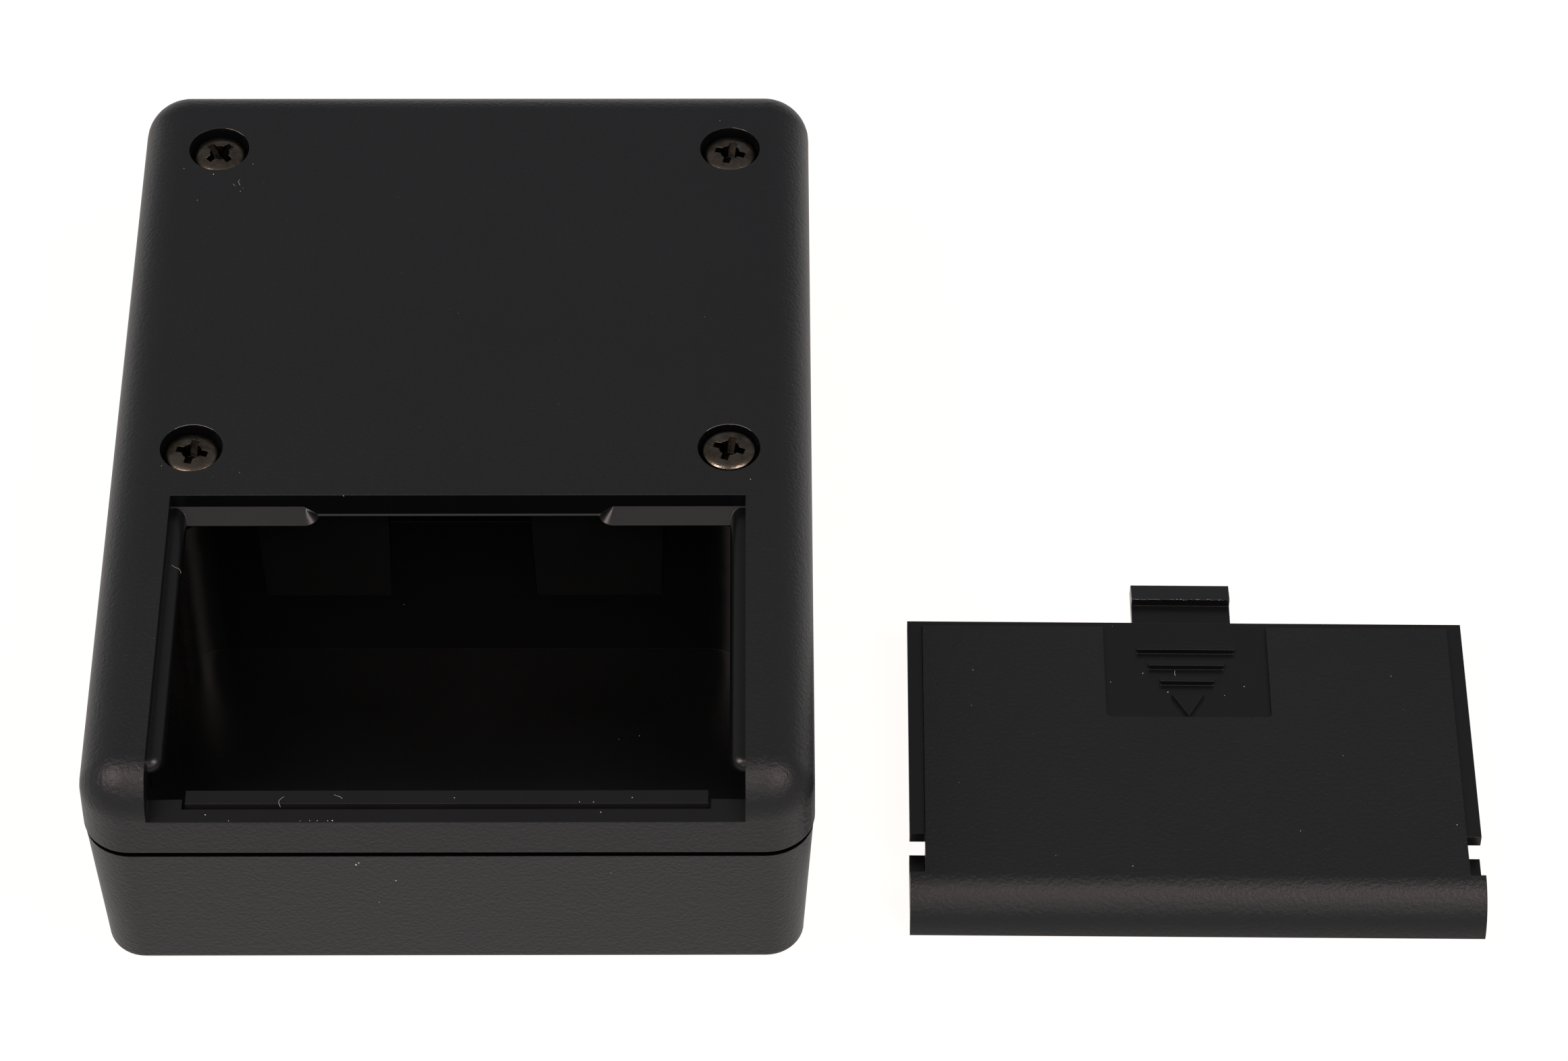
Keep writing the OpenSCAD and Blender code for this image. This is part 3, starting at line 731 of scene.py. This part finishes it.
def first_screw(bm, place, part):
    """The first screw alone, on the origin and turned back, with its cross recess marked for the darker metal
    that paints shade into it.
    """
    bmesh.ops.delete(bm, geom=[v for v in bm.verts if v not in part], context="VERTS")
    bmesh.ops.translate(bm, verts=bm.verts, vec=-place)
    bmesh.ops.rotate(bm, verts=bm.verts, matrix=Matrix.Rotation(-math.radians(SCREW_TURNS[0]), 3, "Z"))
    number_all(bm)
    top = max(vert.co.z for vert in bm.verts)
    # Faces of the cross recess, which take the painted shade
    dark = {face.index for patch in patches(bm) if in_recess(patch, top) for face in patch}
    mesh = smooth_mesh("screw", bm)
    marks = mesh.attributes.new("dark", "BOOLEAN", "FACE")
    marks.data.foreach_set("value", [polygon.index in dark for polygon in mesh.polygons])
    screw = linked("screw", mesh)
    flatten_normals(screw)
    return screw


def screws(node, head, recess):
    """The screws as copies of the first one, at the places and turns of the CAD screws."""
    bm = cad_bmesh(node)
    places = screw_places(bm)
    feet = [place for place, _ in places]
    screw = first_screw(bm, *places[0])
    bm.free()
    mesh = points_mesh("screw_places", feet, turn=[math.radians(turn) for turn in SCREW_TURNS])
    piece = grown(node + "_finish", mesh, copies_tree(), Copy=screw, Material=head, Dark=recess)
    bpy.data.objects.remove(screw)
    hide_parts(node)
    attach(piece, "root")
    return feet


def rim_glints(feet, top_z):
    """Chains of points in millimetres along the lit part of each recess's rim, for pale threads that paint
    its highlight.
    """
    chains = []
    for foot, (first, last) in zip(feet, RIM_GLINTS):
        step = (last - first) / GLINT_STEPS
        turns = [math.radians(first + step * i) for i in range(GLINT_STEPS + 1)]
        centre = Vector((foot.x, foot.y, top_z))
        rim = [centre + RECESS_R * Vector((math.cos(turn), math.sin(turn), 0.0)) for turn in turns]
        chains.append([point / MM for point in rim])
    return chains


def add_dust_and_highlights(pieces, glints, material):
    """Specks and fibres as the photograph shows them, pale threads and spots that paint the highlights on the
    recess rims and the latch's ridge, and finer dust on faces that look up.
    """
    mesh = points_mesh("specks", [Vector(s[:3]) * MM for s in SPECKS], size=[s[3] * MM for s in SPECKS])
    made = [grown("dust_specks", mesh, speck_tree(), Material=material)]
    threads = fibre_tree()
    made.append(grown("fibres", chains_mesh("fibres", FIBRES), threads, Material=material))
    # Pale threads along the recess rims: painted highlights
    mesh = chains_mesh("rim_glints", glints)
    made.append(grown("rim_glints", mesh, threads, Radius=GLINT_RADIUS, Material=material))
    # Pale spots along the latch's ridge: a painted highlight
    made.append(grown("ridge_wear", chains_mesh("ridge", (RIDGE,)), highlight_spots_tree(), Material=material))
    tree = scatter_tree()
    for seed, piece in enumerate(pieces, DUST_SEED):
        made.append(grown(piece.name + "_dust", piece.data.copy(), tree, Seed=seed, Material=material))
    for piece in made:
        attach(piece, "root")


add_camera()
add_floor()
add_lights()

grain_group()
film_group()
grained = plastic(
    "grained_plastic", colours=((0.0016, 0.0020, 0.0023), (0.0037, 0.0045, 0.0050)), roughness=(0.42, 0.5),
    grain=(0.8, 2200.0, 0.15 * MM), film=(45.0, 0.6))
smooth = plastic(
    "smooth_plastic", colours=((0.0013, 0.0014, 0.0016), (0.0034, 0.0035, 0.0037)), roughness=(0.28, 0.38),
    grain=(0.06, 1600.0, 0.12 * MM), film=(80.0, 0.5))
tongues = plastic(
    "tongue_plastic", colours=((0.0018, 0.0018, 0.0018), (0.0036, 0.0036, 0.0036)), roughness=(0.3, 0.4),
    grain=(0.03, 1200.0, 0.05 * MM), film=(90.0, 0.4))
# Smoother plastic for the front shell below the joint, with a darker colour that paints the shade in the
# battery bay
shaded_inside = plastic(
    "inside_plastic", colours=((0.0005, 0.0005, 0.0005), (0.0014, 0.0014, 0.0014)), roughness=(0.26, 0.32),
    grain=(0.02, 1200.0, 0.02 * MM), film=(90.0, 0.4))
# Lighter plastic for the locating rib's face in the groove behind the cut end wall: painted light falling
# into the groove
lightened_groove = plastic(
    "dusty_plastic", colours=((0.004, 0.004, 0.004), (0.012, 0.0115, 0.011)), roughness=(0.45, 0.55),
    grain=(0.06, 1600.0, 0.05 * MM), film=(80.0, 1.0))
head_metal = metal("screw_metal", ((0.100, 0.084, 0.068), (0.030, 0.024, 0.016)), (0.22, 0.44))
# Darker copy of the screw metal for the cross recesses: painted shade
cross_metal = metal("cross_metal", ((0.020, 0.016, 0.013), (0.006, 0.005, 0.004)), (0.16, 0.3))
# Pale dust, whose material also paints the highlights on the recess rims and along the latch's ridge
dust = lint_and_highlight("dust")

back_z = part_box("back_shell")[1][2]
moulding("front_shell", (0.0, -1), grained, smooth, shaded_inside, lightened_groove)
back = moulding("back_shell", (back_z, 1), grained, smooth, tongues)
cover = moulding("battery_cover", (COVER_PLATE_Z, 1), grained, smooth, smooth)
screw_feet = screws("case_screws", head_metal, cross_metal)
add_dust_and_highlights([back, cover], rim_glints(screw_feet, back_z), dust)

bpy.context.scene.view_settings.view_transform = "Standard"
